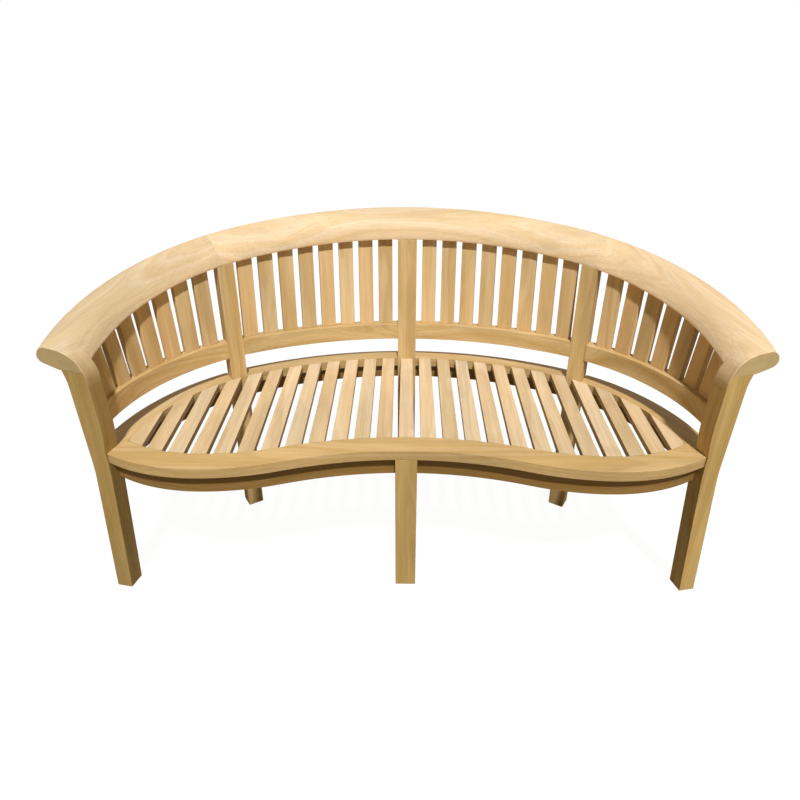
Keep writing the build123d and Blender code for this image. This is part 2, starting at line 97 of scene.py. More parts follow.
class Stock(Enum):
    """The kinds of board that the bench is sawn from."""

    CROWN = "crown"
    BOARD = "board"
    RAIL = "rail"
    APRON = "apron"
    POST = "post"
    LEG = "leg"
    SEAT_SLAT = "seat_slat"
    BACK_SLAT = "back_slat"
    HIDDEN = "hidden"


STOCK_BY_PREFIX: dict[str, Stock] = {
    "top_rail": Stock.CROWN,
    "front_board": Stock.BOARD,
    "rear_board": Stock.BOARD,
    "front_apron": Stock.APRON,
    "rear_apron": Stock.APRON,
    "lower_back_rail": Stock.RAIL,
    "centre_bearer": Stock.HIDDEN,
    "centre_front_leg": Stock.LEG,
    "front_leg": Stock.LEG,
    "rear_post": Stock.POST,
    "seat_slat": Stock.SEAT_SLAT,
    "back_slats": Stock.BACK_SLAT,
}


def stock_of(node: str) -> Stock:
    """Kind of board that a node is made of.

    Args:
        node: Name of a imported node.

    Returns:
        Its kind.
    """
    return next(stock for prefix, stock in STOCK_BY_PREFIX.items() if node.startswith(prefix))


def deselect_all() -> None:
    """Leaves nothing selected in object mode."""
    bpy.ops.object.select_all(action="DESELECT")


def select_only(piece: bpy.types.Object) -> None:
    """Makes one piece the only selected and the active one.

    Args:
        piece: The piece to select.
    """
    deselect_all()
    piece.select_set(True)
    bpy.context.view_layer.objects.active = piece


@dataclass(frozen=True)
class Viewpoint:
    """Camera that looks at the bench as the photographer did."""

    place: Triple = (-0.00133, -1.37819, 1.12716)
    yaw: float = -0.00373
    down: float = 0.48228
    roll: float = 0.004654
    sensor: float = 36.0
    lens: float = 24.41
    shift: float = -0.00525
    near: float = 0.05
    far: float = 60.0

    def build(self) -> bpy.types.Object:
        """Adds the camera and makes it the scene's own.

        Returns:
            The camera object.
        """
        deselect_all()
        bpy.ops.object.camera_add()
        camera = bpy.context.object
        camera.name = "portrait_camera"
        ahead = Vector(
            (
                math.sin(self.yaw) * math.cos(self.down),
                math.cos(self.yaw) * math.cos(self.down),
                -math.sin(self.down),
            )
        )
        level = Vector((math.cos(self.yaw), -math.sin(self.yaw), 0))
        above = level.cross(ahead)
        right = level * math.cos(self.roll) + above * math.sin(self.roll)
        up = above * math.cos(self.roll) - level * math.sin(self.roll)
        turn = Matrix((right, up, -ahead)).transposed().to_4x4()
        camera.matrix_world = Matrix.Translation(self.place) @ turn
        camera.data.sensor_width = self.sensor
        camera.data.lens = self.lens
        camera.data.shift_x = self.shift
        camera.data.clip_start = self.near
        camera.data.clip_end = self.far
        bpy.context.scene.camera = camera
        return camera


@dataclass(frozen=True)
class Noise:
    """A noise texture, and how far it is drawn out along and across the board."""

    stretch: Triple
    detail: float
    roughness: float


class Graph:
    """Small helper that adds and links nodes in one tree."""

    def __init__(self, tree: bpy.types.NodeTree) -> None:
        """Keeps the tree that the nodes go into.

        Args:
            tree: A shader's or a group's tree.
        """
        self.tree = tree

    def put(self, socket: bpy.types.NodeSocket, value: object) -> None:
        """Links a socket to another one, or sets its value.

        Args:
            socket: The input to fill.
            value: An output socket to link, or a plain value.
        """
        if isinstance(value, bpy.types.NodeSocket):
            self.tree.links.new(value, socket)
        else:
            socket.default_value = value

    def node(self, kind: str, inputs: dict | None = None, **settings: object) -> bpy.types.Node:
        """Adds a node.

        Args:
            kind: The node's type name.
            inputs: Values or sockets by input name or number.
            settings: Attributes of the node.

        Returns:
            The node.
        """
        made = self.tree.nodes.new(kind)
        for name, value in settings.items():
            setattr(made, name, value)
        for name, value in (inputs or {}).items():
            self.put(made.inputs[name], value)
        return made

    def math(self, operation: str, *values: object, clamp: bool = False) -> bpy.types.NodeSocket:
        """Adds a Math node.

        Args:
            operation: What it works out.
            values: Numbers or sockets, in the node's order.
            clamp: Whether the result is kept between 0 and 1.

        Returns:
            The result.
        """
        inputs = dict(enumerate(values))
        return self.node("ShaderNodeMath", inputs, operation=operation, use_clamp=clamp).outputs[0]

    def vector(self, operation: str, *values: object) -> bpy.types.NodeSocket:
        """Adds a Vector Math node.

        Args:
            operation: What it works out.
            values: Vectors or sockets, in the node's order.

        Returns:
            The resulting vector.
        """
        inputs = dict(enumerate(values))
        return self.node("ShaderNodeVectorMath", inputs, operation=operation).outputs[0]

    def noise(self, place: object, noise: Noise) -> bpy.types.NodeSocket:
        """Adds a Noise Texture over stretched places.

        Args:
            place: Socket with the place on the board.
            noise: The texture's settings.

        Returns:
            The texture's value.
        """
        inputs = {
            "Vector": self.vector("MULTIPLY", place, noise.stretch),
            "Scale": 1.0,
            "Detail": noise.detail,
            "Roughness": noise.roughness,
        }
        return self.node("ShaderNodeTexNoise", inputs).outputs["Fac"]

    def wander(self, value: object, detail: float) -> bpy.types.NodeSocket:
        """Adds a Noise Texture along one number.

        Args:
            value: Socket with the number.
            detail: The texture's detail.

        Returns:
            The texture's value.
        """
        inputs = {"W": value, "Scale": 1.0, "Detail": detail}
        return self.node("ShaderNodeTexNoise", inputs, noise_dimensions="1D").outputs["Fac"]

    def remap(self, value: object, limits: Pair, results: Pair = (0.0, 1.0)) -> bpy.types.NodeSocket:
        """Adds a smooth Map Range.

        Args:
            value: Socket with the number.
            limits: The lowest and highest number that count.
            results: What they are turned into.

        Returns:
            The result.
        """
        inputs = dict(enumerate((value, *limits, *results)))
        return self.node("ShaderNodeMapRange", inputs, interpolation_type="SMOOTHSTEP").outputs[0]

    def blend(self, share: object, first: object, second: object, mode: str = "MIX") -> bpy.types.NodeSocket:
        """Mixes two colours.

        Args:
            share: How much of the second.
            first: The first colour.
            second: The second colour.
            mode: Blend mode.

        Returns:
            The mixed colour.
        """
        made = self.node("ShaderNodeMix", data_type="RGBA", blend_type=mode)
        self.put(made.inputs["Factor"], share)
        for number, value in zip(MIX_COLOUR_INPUTS, (first, second)):
            self.put(made.inputs[number], (*value, 1.0) if isinstance(value, tuple) else value)
        return made.outputs[MIX_COLOUR_OUTPUT]

    def attribute(self, name: str) -> bpy.types.Node:
        """Adds an Attribute node.

        Args:
            name: The mesh attribute to read.

        Returns:
            The node.
        """
        return self.node("ShaderNodeAttribute", attribute_name=name)


GroupStart = tuple[Graph, bpy.types.Node, bpy.types.Node]


def new_group(name: str, inputs: dict[str, str], outputs: dict[str, str]) -> GroupStart:
    """Starts a shader node group with named sockets.

    Args:
        name: The group's name.
        inputs: Socket types by name.
        outputs: Socket types by name.

    Returns:
        The group's graph, its input node and its output node.
    """
    tree = bpy.data.node_groups.new(name, "ShaderNodeTree")
    for direction, sockets in (("INPUT", inputs), ("OUTPUT", outputs)):
        for label, kind in sockets.items():
            tree.interface.new_socket(name=label, in_out=direction, socket_type=f"NodeSocket{kind}")
    return Graph(tree), tree.nodes.new("NodeGroupInput"), tree.nodes.new("NodeGroupOutput")


@dataclass(frozen=True)
class Figure:
    """A board's figure: rings round a pith that lies beside the board, warped along its length.

    The pith's place is chosen between its lowest and its highest place by the board's seed.
    """

    pith_low: Triple = (-3.0, -0.06, -0.32)
    pith_high: Triple = (3.0, 0.06, -0.12)
    wave: Noise = Noise((1.6, 9.0, 9.0), 2.0, 0.5)
    ring_detail: float = 2.0
    band_scale: float = 62.0
    band_detail: float = 1.0

    def build(self) -> bpy.types.NodeTree:
        """Builds the node group.

        Returns:
            The group's tree.
        """
        graph, given, out = new_group(
            "growth_rings",
            {"Grain": "Vector", "Seed": "Float", "Ring Scale": "Float", "Warp": "Float"},
            {"Rings": "Float", "Bands": "Float"},
        )
        chance = graph.node("ShaderNodeTexWhiteNoise", {"W": given.outputs["Seed"]}, noise_dimensions="1D")
        limits = dict(zip(RANGE_VECTOR_INPUTS, (self.pith_low, self.pith_high)))
        pith = graph.node(
            "ShaderNodeMapRange",
            {"Vector": chance.outputs["Color"], **limits},
            data_type="FLOAT_VECTOR",
        )
        placed = graph.vector("ADD", given.outputs["Grain"], pith.outputs["Vector"])
        slow = graph.noise(placed, self.wave)
        apart = graph.node("ShaderNodeSeparateXYZ", {0: placed})
        across = graph.node("ShaderNodeCombineXYZ", {1: apart.outputs["Y"], 2: apart.outputs["Z"]})
        distance = graph.node("ShaderNodeVectorMath", {0: across.outputs[0]}, operation="LENGTH")
        bend = graph.math("MULTIPLY", slow, given.outputs["Warp"])
        warped = graph.math("ADD", distance.outputs["Value"], bend)
        fine = graph.math("MULTIPLY", warped, given.outputs["Ring Scale"])
        broad = graph.math("MULTIPLY", warped, self.band_scale)
        graph.put(out.inputs["Rings"], graph.wander(fine, self.ring_detail))
        graph.put(out.inputs["Bands"], graph.wander(broad, self.band_detail))
        return graph.tree


@dataclass(frozen=True)
class Fibres:
    """The fine streaks, open pores and soft blotches that run along a board."""

    streaks: Noise = Noise((2.4, 240.0, 240.0), 4.0, 0.62)
    pores: Noise = Noise((13.0, 1200.0, 1200.0), 2.0, 0.5)
    blotches: Noise = Noise((2.6, 14.0, 14.0), 3.0, 0.55)
    pore_limits: Pair = (0.56, 0.7)

    def build(self) -> bpy.types.NodeTree:
        """Builds the node group.

        Returns:
            The group's tree.
        """
        graph, given, out = new_group(
            "wood_fibres",
            {"Grain": "Vector", "Seed": "Float"},
            {"Streaks": "Float", "Pores": "Float", "Blotch": "Float"},
        )
        away = graph.node("ShaderNodeCombineXYZ", {0: given.outputs["Seed"]})
        moved = graph.vector("ADD", given.outputs["Grain"], away.outputs[0])
        pores = graph.remap(graph.noise(moved, self.pores), self.pore_limits)
        graph.put(out.inputs["Streaks"], graph.noise(moved, self.streaks))
        graph.put(out.inputs["Pores"], pores)
        graph.put(out.inputs["Blotch"], graph.noise(moved, self.blotches))
        return graph.tree


@dataclass(frozen=True)
class Teak:
    """One finish of sanded, unoiled teak; some finishes are darkened as painted shade.

    Limits say between which values of a texture or an attribute a share grows to its full size.
    """

    name: str
    pale: Colour
    golden: Colour
    brown: Colour
    ruddy: Colour
    end_grain: Colour
    # The shoulder's colour at its foot, matched to the leg teak, which is darkened as painted shade.
    foot: Colour = (0.60, 0.42, 0.17)
    ring_scale: float = 170.0
    warp: float = 0.07
    figure: float = 0.32
    tone_spread: float = 0.05
    ruddy_share: float = 0.30
    streak_share: float = 0.24
    pore_share: float = 0.26
    end_share: float = 0.75
    edge_lift: float = 0.05
    band_limits: Pair = (0.3, 0.7)
    ring_limits: Pair = (0.42, 0.72)
    streak_limits: Pair = (0.35, 0.7)
    flush_limits: Pair = (0.5, 0.75)
    end_limits: Pair = (0.5, 0.95)
    blotch_limits: Pair = (0.3, 0.72)
    blotch_levels: Pair = (0.9, 1.1)
    roughness: float = 0.52
    streak_roughness: float = 0.12
    pore_roughness: float = 0.1
    streak_height: float = -0.6
    pore_height: float = -1.0
    pore_depth: float = 0.0004
    relief: float = 0.35
    refraction: float = 1.45

    def colour(
        self,
        graph: Graph,
        tone: bpy.types.NodeSocket,
        figure: bpy.types.bpy_prop_collection,
        fibre: bpy.types.bpy_prop_collection,
        streaks: bpy.types.NodeSocket,
    ) -> bpy.types.NodeSocket:
        """Mixes the wood's colours: bands first, then flushes, rings, streaks, pores and end grain.

        Args:
            graph: The material's graph.
            tone: The board's own tone, which for the left end leg is partly painted shade.
            figure: Outputs of the figure's group.
            fibre: Outputs of the fibres' group.
            streaks: How strongly a streak shows.

        Returns:
            The mixed colour.
        """
        bands = graph.remap(figure["Bands"], self.band_limits)
        rings = graph.remap(figure["Rings"], self.ring_limits)
        flush = graph.remap(fibre["Blotch"], self.flush_limits, (0.0, self.ruddy_share))
        ends = graph.remap(graph.attribute("end").outputs["Fac"], self.end_limits, (0.0, self.end_share))
        colour = self.pale
        for share, other in (
            (bands, self.golden),
            (graph.attribute("fade").outputs["Fac"], self.foot),
            (graph.math("MULTIPLY", tone, self.ruddy_share, clamp=True), self.ruddy),
            (flush, self.ruddy),
            (graph.math("MULTIPLY", rings, self.figure), self.brown),
            (graph.math("MULTIPLY", streaks, self.streak_share), self.brown),
            (graph.math("MULTIPLY", fibre["Pores"], self.pore_share), self.end_grain),
            (ends, self.end_grain),
        ):
            colour = graph.blend(share, colour, other)
        return colour

    def build(self, rings: bpy.types.NodeTree, fibres: bpy.types.NodeTree) -> bpy.types.Material:
        """Builds the material from the shared groups.

        Args:
            rings: Group for the figure.
            fibres: Group for streaks, pores and blotches.

        Returns:
            The material.
        """
        material = bpy.data.materials.new(self.name)
        material.use_nodes = True
        graph = Graph(material.node_tree)
        shader = material.node_tree.nodes["Principled BSDF"]
        cut = {
            "Grain": graph.attribute("grain").outputs["Vector"],
            "Seed": graph.attribute("seed").outputs["Fac"],
        }
        tone = graph.attribute("tone").outputs["Fac"]
        growth = {**cut, "Ring Scale": self.ring_scale, "Warp": self.warp}
        figure = graph.node("ShaderNodeGroup", growth, node_tree=rings).outputs
        fibre = graph.node("ShaderNodeGroup", cut, node_tree=fibres).outputs
        pores = fibre["Pores"]
        streaks = graph.remap(fibre["Streaks"], self.streak_limits)
        colour = self.colour(graph, tone, figure, fibre, streaks)
        blotch = graph.remap(fibre["Blotch"], self.blotch_limits, self.blotch_levels)
        level = graph.math("MULTIPLY", blotch, graph.math("MULTIPLY_ADD", tone, self.tone_spread, 1.0))
        worn = graph.math("MULTIPLY_ADD", graph.attribute("edge").outputs["Fac"], self.edge_lift, level)
        shade = graph.node("ShaderNodeCombineXYZ", {0: worn, 1: worn, 2: worn}).outputs[0]
        graph.put(shader.inputs["Base Color"], graph.blend(1.0, colour, shade, "MULTIPLY"))
        rough = graph.math("MULTIPLY_ADD", streaks, self.streak_roughness, self.roughness)
        graph.put(shader.inputs["Roughness"], graph.math("MULTIPLY_ADD", pores, self.pore_roughness, rough))
        hollows = graph.math("MULTIPLY", streaks, self.streak_height)
        height = graph.math("MULTIPLY_ADD", pores, self.pore_height, hollows)
        relief = {"Height": height, "Strength": self.relief, "Distance": self.pore_depth}
        graph.put(shader.inputs["Normal"], graph.node("ShaderNodeBump", relief).outputs["Normal"])
        shader.inputs["IOR"].default_value = self.refraction
        return material


@dataclass(frozen=True)
class Easing:
    """How far a kind of board's edges are rounded, in metres."""

    radius: float
    segments: int = 2


@dataclass(frozen=True)
class Stretch:
    """One stretch of a line: how long it is, and how far the line turns along it."""

    length: float
    turn: float = 0.0


@dataclass(frozen=True)
class ArmNeck:
    """Where an end leg widens above the seat and runs into its arm in one smooth line.

    Places are told from the leg's front inner corner: inward, backward and up. The skin is the line
    that the shoulder follows, from its foot on the leg's inner face up onto the top of the arm. The
    leg keeps under it from the meeting height up, and the arm's lip as far out as the lip's depth.
    A vertex within the face depth of the leg's inner or outer face moves with that face.
    """

    leg: str
    arm: str
    side: int
    widening: float = 0.008
    widening_height: float = 0.090
    narrowing: float = 0.004
    narrowing_height: float = 0.036
    outer_flare: float = 0.006
    foot: Pair = (0.0078, -0.0360)
    course: tuple[Stretch, ...] = (
        Stretch(0.013),
        Stretch(0.035, math.radians(26.5)),
        Stretch(0.014),
        Stretch(0.030, math.radians(59.5)),
    )
    columns: int = 12
    slices: int = 7
    rings: int = 14
    meeting_height: float = -0.032
    lip_depth: float = 0.020
    cover: float = 0.0004
    thickness: float = 0.003
    face_depth: float = 0.00075
    ray_height: float = 0.1
    fade_height: float = 0.050

    @cached_property
    def skin(self) -> np.ndarray:
        """Points of the skin, inward and up, in even steps along its course."""
        ends = np.cumsum([0.0, *(stretch.length for stretch in self.course)])
        turned = np.cumsum([0.0, *(stretch.turn for stretch in self.course)])
        step = ends[-1] / self.columns
        middles = step * (np.arange(self.columns) + 0.5)
        heading = np.interp(middles, ends, turned)
        steps = step * np.stack((-np.sin(heading), np.cos(heading)), axis=1)
        return np.cumsum(np.vstack((self.foot, steps)), axis=0)

    def skin_at(self, up: float) -> float:
        """Says how far inward the skin lies.

        Args:
            up: Height above the leg's front inner corner.

        Returns:
            The distance inward.
        """
        inward, heights = self.skin.T
        return float(np.interp(up, heights, inward))

    def corners(self) -> tuple[Vector, Vector, float]:
        """Finds the front inner and rear inner corners at the leg's top.

        Returns:
            Both corners, and the leg's width.
        """
        seat_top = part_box("front_board")[1][2]
        vertices = frame["nodes"][self.leg].data.vertices
        places = [vertex.co.copy() for vertex in vertices if vertex.co.z > seat_top]
        front = min(places, key=lambda place: place.y)
        inner = min(places, key=lambda place: abs(place.x))
        return front, inner, (inner - front).to_2d().length

    def placement(self) -> Matrix:
        """Matrix from the neck's own directions to the bench's.

        Returns:
            The matrix, with its origin at the front inner corner.
        """
        front, inner, _ = self.corners()
        back = Vector((inner.x - front.x, inner.y - front.y, 0.0)).normalized()
        inward = Vector((back.y, -back.x, 0.0)) * -self.side
        return Matrix.Translation(front) @ Matrix((inward, back, UP)).transposed().to_4x4()

    def widen(self, piece: bpy.types.Object) -> None:
        """Moves the inner face of the leg inwards above the seat, and flares its top outwards.

        Args:
            piece: The leg in edit mode.
        """
        placement = self.placement()
        inside = placement.inverted()
        width = self.corners()[2]
        top = placement.translation.z
        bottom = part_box("front_board")[1][2]
        for number in range(self.rings):
            height = bottom + (top - bottom) * number / self.rings
            bpy.ops.mesh.select_all(action="SELECT")
            bpy.ops.mesh.bisect(plane_co=(0.0, 0.0, height), plane_no=UP)
        shell = bmesh.from_edit_mesh(piece.data)
        for vertex in shell.verts:
            if vertex.co.z <= bottom:
                continue
            own = inside @ vertex.co
            rise = min((vertex.co.z - bottom) / self.widening_height, 1.0)
            near_top = max(1.0 + min(own.z, 0.0) / self.narrowing_height, 0.0)
            if own.x > -self.face_depth:
                own.x += self.widening * (1 - (1 - rise) ** 2) - self.narrowing * near_top**2
                if own.z > self.meeting_height:
                    own.x = min(own.x, self.skin_at(own.z) - self.cover)
            elif own.x < self.face_depth - width:
                own.x -= self.outer_flare * near_top**2
            vertex.co = placement @ own
        bmesh.update_edit_mesh(piece.data)

    def trim_lip(self, piece: bpy.types.Object) -> None:
        """Draws the arm's lip back over the leg, so that the shoulder covers it.

        Args:
            piece: The arm in edit mode.
        """
        placement = self.placement()
        inside = placement.inverted()
        width = self.corners()[2]
        back = placement.to_3x3() @ Vector((0.0, 1.0, 0.0))
        for number in range(1, self.slices + 1):
            spot = placement @ Vector((0.0, width * number / self.slices, 0.0))
            bpy.ops.mesh.select_all(action="SELECT")
            bpy.ops.mesh.bisect(plane_co=spot, plane_no=back)
        shell = bmesh.from_edit_mesh(piece.data)
        for vertex in shell.verts:
            own = inside @ vertex.co
            limit = self.skin_at(own.z) - self.cover
            if own.y < width + self.cover and own.x > limit and own.x > -self.lip_depth:
                own.x = limit
                vertex.co = placement @ own
        bmesh.update_edit_mesh(piece.data)

    def shoulder(self) -> bpy.types.Object:
        """Models the rounded shoulder over the lip, from the leg's inner face up onto the arm.

        Returns:
            The shoulder in edit mode, a closed shell with its place in its mesh.
        """
        placement = self.placement()
        inside = placement.inverted()
        width = self.corners()[2]
        arm = frame["nodes"][self.arm].data
        faces = [list(polygon.vertices) for polygon in arm.polygons]
        surface = BVHTree.FromPolygons([vertex.co for vertex in arm.vertices], faces)
        deselect_all()
        bpy.ops.mesh.primitive_grid_add(x_subdivisions=self.columns, y_subdivisions=self.slices, size=1)
        piece = bpy.context.object
        piece.name = f"teak_shoulder_{self.leg.rsplit('_', 1)[1]}"
        for vertex in piece.data.vertices:
            column = round((vertex.co.x + 0.5) * self.columns)
            inward, up = self.skin[column]
            back = (vertex.co.y + 0.5) * width
            spot = placement @ Vector((inward, max(back, self.cover), self.ray_height))
            hit = surface.ray_cast(spot, -UP)[0]
            if hit is not None and inward < 0:
                up = max(up, (inside @ hit).z + self.cover / 2)
            if column == self.columns:
                up -= 2 * self.cover
            vertex.co = placement @ Vector((inward, back, up))
        solid = piece.modifiers.new("board_thickness", "SOLIDIFY")
        solid.thickness = self.thickness
        solid.offset = -self.side
        bpy.ops.object.modifier_apply(modifier=solid.name)
        bpy.ops.object.mode_set(mode="EDIT")
        bpy.ops.mesh.select_all(action="SELECT")
        bpy.ops.mesh.normals_make_consistent(inside=False)
        return piece

    def fade(self, piece: bpy.types.Object) -> None:
        """Writes how far the shoulder has the leg's colour: fully at its foot, not at all on the arm.

        Args:
            piece: The shoulder.
        """
        inside = self.placement().inverted()
        foot_height = self.foot[1]
        heights = [(inside @ vertex.co).z - foot_height for vertex in piece.data.vertices]
        shares = [min(max(1.0 - height / self.fade_height, 0.0), 1.0) for height in heights]
        piece.data.attributes.new("fade", "FLOAT", "POINT").data.foreach_set("value", shares)


ARM_NECKS = (
    ArmNeck("front_leg_left", "top_rail_left", side=-1),
    ArmNeck("front_leg_right", "top_rail_right", side=1),
)


def board_numbers(mesh: bpy.types.Mesh) -> np.ndarray:
    """Numbers the separate boards within one mesh.

    Args:
        mesh: The mesh to look through.

    Returns:
        The number of its board for each vertex.
    """
    owner = np.arange(len(mesh.vertices))
    edges = np.empty(len(mesh.edges) * 2, np.int32)
    mesh.edges.foreach_get("vertices", edges)
    first, second = edges.reshape(-1, 2).T
    while True:
        lowest = np.minimum(owner[first], owner[second])
        before = owner.copy()
        np.minimum.at(owner, first, lowest)
        np.minimum.at(owner, second, lowest)
        owner = owner[owner]
        if np.array_equal(before, owner):
            return np.unique(owner, return_inverse=True)[1]


@dataclass
class Boards:
    """All boards of the bench, eased and dressed."""

    easings: dict[Stock, Easing] = field(
        default_factory=lambda: {
            Stock.CROWN: Easing(0.0020, 3),
            Stock.BOARD: Easing(0.0018),
            Stock.RAIL: Easing(0.0014),
            Stock.APRON: Easing(0.0014),
            Stock.POST: Easing(0.0014),
            Stock.LEG: Easing(0.0014),
            Stock.SEAT_SLAT: Easing(0.0012),
            Stock.BACK_SLAT: Easing(0.0012),
            Stock.HIDDEN: Easing(0.0010, 1),
        }
    )
    # Tones given to some boards; the rest get a random tone. The left end leg's -1.0 is partly painted shade
    # for its darker outer face.
    tones_and_leg_shade: dict[str, float] = field(
        default_factory=lambda: {
            "top_rail_left": -1.0,
            "top_rail_middle": 0.2,
            "top_rail_right": 0.8,
            "front_leg_left": -1.0,
            "centre_front_leg": 0.0,
            "front_leg_right": 0.6,
        }
    )
    seed: int = 7
    seed_spread: float = 900.0

    def eased(self, node: str, stock: Stock) -> bpy.types.Object:
        """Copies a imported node, merges it and rounds its arrises.

        Args:
            node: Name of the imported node.
            stock: Its kind of board.

        Returns:
            The new piece, which stands for the node.
        """
        select_only(frame["nodes"][node])
        bpy.ops.object.duplicate()
        piece = bpy.context.object
        piece.name = f"teak_{node}"
        del piece["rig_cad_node"]
        bpy.ops.object.mode_set(mode="EDIT")
        bpy.ops.mesh.select_all(action="SELECT")
        bpy.ops.mesh.remove_doubles(threshold=MERGE_DISTANCE)
        bpy.ops.mesh.dissolve_limited(angle_limit=FLAT_ANGLE)
        for neck in ARM_NECKS:
            if node == neck.leg:
                neck.widen(piece)
            if node == neck.arm:
                neck.trim_lip(piece)
        return self.finished(piece, stock)

    def finished(self, piece: bpy.types.Object, stock: Stock) -> bpy.types.Object:
        """Rounds the arrises of a piece and shades it evenly.

        Args:
            piece: The piece in edit mode.
            stock: Its kind of board.

        Returns:
            The piece in object mode.
        """
        bpy.ops.mesh.select_mode(type="EDGE")
        bpy.ops.mesh.select_all(action="DESELECT")
        bpy.ops.mesh.edges_select_sharp(sharpness=SHARP_ANGLE)
        if stock is Stock.CROWN:
            self.spare_joints(piece)
        easing = self.easings[stock]
        bpy.ops.mesh.bevel(
            offset=easing.radius,
            segments=easing.segments,
            profile=ROUND_PROFILE,
            clamp_overlap=True,
            material=ARRIS_MARK,
        )
        bpy.ops.object.mode_set(mode="OBJECT")
        bpy.ops.object.shade_smooth_by_angle(angle=SMOOTH_ANGLE)
        even = piece.modifiers.new("even_shading", "WEIGHTED_NORMAL")
        even.keep_sharp = True
        even.weight = FLAT_FACE_WEIGHT
        bpy.ops.object.modifier_apply(modifier=even.name)
        return piece

    def spare_joints(self, piece: bpy.types.Object) -> None:
        """Keeps the edges that lie on another piece of the crown sharp.

        The joint between them then stays a fine line.

        Args:
            piece: The piece in edit mode, with its sharp edges selected.
        """
        crown = [name for name in frame["nodes"] if stock_of(name) is Stock.CROWN]
        others = [frame["nodes"][name] for name in crown if not piece.name.endswith(name)]
        ends = KDTree(sum(len(body.data.vertices) for body in others))
        for number, place in enumerate(vertex.co for body in others for vertex in body.data.vertices):
            ends.insert(place, number)
        ends.balance()
        shell = bmesh.from_edit_mesh(piece.data)
        for edge in shell.edges:
            if all(ends.find(vertex.co)[2] < TOUCH_DISTANCE for vertex in edge.verts):
                edge.smooth = False
                edge.select_set(False)
        bmesh.update_edit_mesh(piece.data)

    def cut_grain(self, piece: bpy.types.Object, node: str) -> int:
        """Writes each board's own grain frame, seed and tone into its mesh; the left end leg's tone is
        partly painted shade.

        Args:
            piece: The piece to write to.
            node: Name of the node whose wood it has.

        Returns:
            How many boards the piece holds.
        """
        chance = random.Random(f"{self.seed} {node}")
        mesh = piece.data
        count = len(mesh.vertices)
        places = np.empty(count * 3)
        mesh.vertices.foreach_get("co", places)
        places = places.reshape(-1, 3)
        owner = board_numbers(mesh)
        grain, seed, tone = np.empty((count, 3)), np.empty(count), np.empty(count)
        axes = []
        for board in range(owner.max() + 1):
            mine = owner == board
            centred = places[mine] - places[mine].mean(0)
            _, _, frame_axes = np.linalg.svd(centred, full_matrices=False)
            axes.append(frame_axes[0])
            grain[mine] = centred @ frame_axes.T
            seed[mine] = chance.uniform(0.0, self.seed_spread)
            tone[mine] = self.tones_and_leg_shade.get(node, chance.uniform(-1.0, 1.0))
        for name, kind, values, key in (
            ("grain", "FLOAT_VECTOR", grain, "vector"),
            ("seed", "FLOAT", seed, "value"),
            ("tone", "FLOAT", tone, "value"),
        ):
            written = mesh.attributes.new(name, kind, "POINT")
            written.data.foreach_set(key, values.astype(np.float32).ravel())
        faces = len(mesh.polygons)
        normals, bevelled = np.empty(faces * 3), np.empty(faces, np.int32)
        mesh.polygons.foreach_get("normal", normals)
        mesh.polygons.foreach_get("material_index", bevelled)
        starts = np.array([polygon.vertices[0] for polygon in mesh.polygons])
        along = np.array(axes)[owner[starts]]
        ends = np.abs((normals.reshape(-1, 3) * along).sum(1))
        for name, values in (("end", ends), ("edge", bevelled.astype(float))):
            written = mesh.attributes.new(name, "FLOAT", "FACE")
            written.data.foreach_set("value", values.astype(np.float32))
        mesh.polygons.foreach_set("material_index", np.zeros(faces, np.int32))
        return owner.max() + 1

    def dress(self, piece: bpy.types.Object, node: str, finish: bpy.types.Material) -> int:
        """Cuts the grain of a piece and gives it its finish.

        Args:
            piece: The piece to dress.
            node: Name of the node whose wood it has.
            finish: Its only material.

        Returns:
            How many boards the piece holds.
        """
        count = self.cut_grain(piece, node)
        piece.data.materials.clear()
        piece.data.materials.append(finish)
        return count

    def build(self, materials: dict[Stock, bpy.types.Material]) -> list[bpy.types.Object]:
        """Eases and dresses every node, and adds the shoulders.

        Args:
            materials: The finish of each kind of board.

        Returns:
            The new pieces.
        """
        made = []
        for node in sorted(frame["nodes"]):
            stock = stock_of(node)
            piece = self.eased(node, stock)
            count = self.dress(piece, node, materials[stock])
            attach(piece, "root")
            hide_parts(node)
            faces = len(piece.data.polygons)
            LOG.info("%s: %s, %d board(s), %d faces", piece.name, stock.value, count, faces)
            made.append(piece)
        for neck in ARM_NECKS:
            piece = self.finished(neck.shoulder(), Stock.CROWN)
            self.dress(piece, neck.arm, materials[Stock.CROWN])
            neck.fade(piece)
            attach(piece, "root")
            LOG.info("%s: %d faces", piece.name, len(piece.data.polygons))
            made.append(piece)
        return made


class LampKind(Enum):
    """The kinds of lamp that light the bench."""

    SUN = "SUN"
    AREA = "AREA"


@dataclass(frozen=True)
class Lamp:
    """One soft lamp: a sun's spread is its angle, an area lamp's is the width of its disk."""

    name: str
    kind: LampKind
    place: Triple
    target: Triple
    spread: float
    power: float
    colour: Colour = (1.0, 1.0, 1.0)

    def build(self) -> bpy.types.Object:
        """Adds the lamp, turned to its target.

        Returns:
            The lamp object.
        """
        deselect_all()
        bpy.ops.object.light_add(type=self.kind.value, location=self.place)
        lamp = bpy.context.object
        lamp.name = self.name
        if self.kind is LampKind.SUN:
            lamp.data.angle = self.spread
        else:
            lamp.data.shape = "DISK"
            lamp.data.size = self.spread
        lamp.data.energy = self.power
        lamp.data.color = self.colour
        way = Vector(self.target) - Vector(self.place)
        lamp.rotation_euler = way.to_track_quat("-Z", "Y").to_euler()
        return lamp


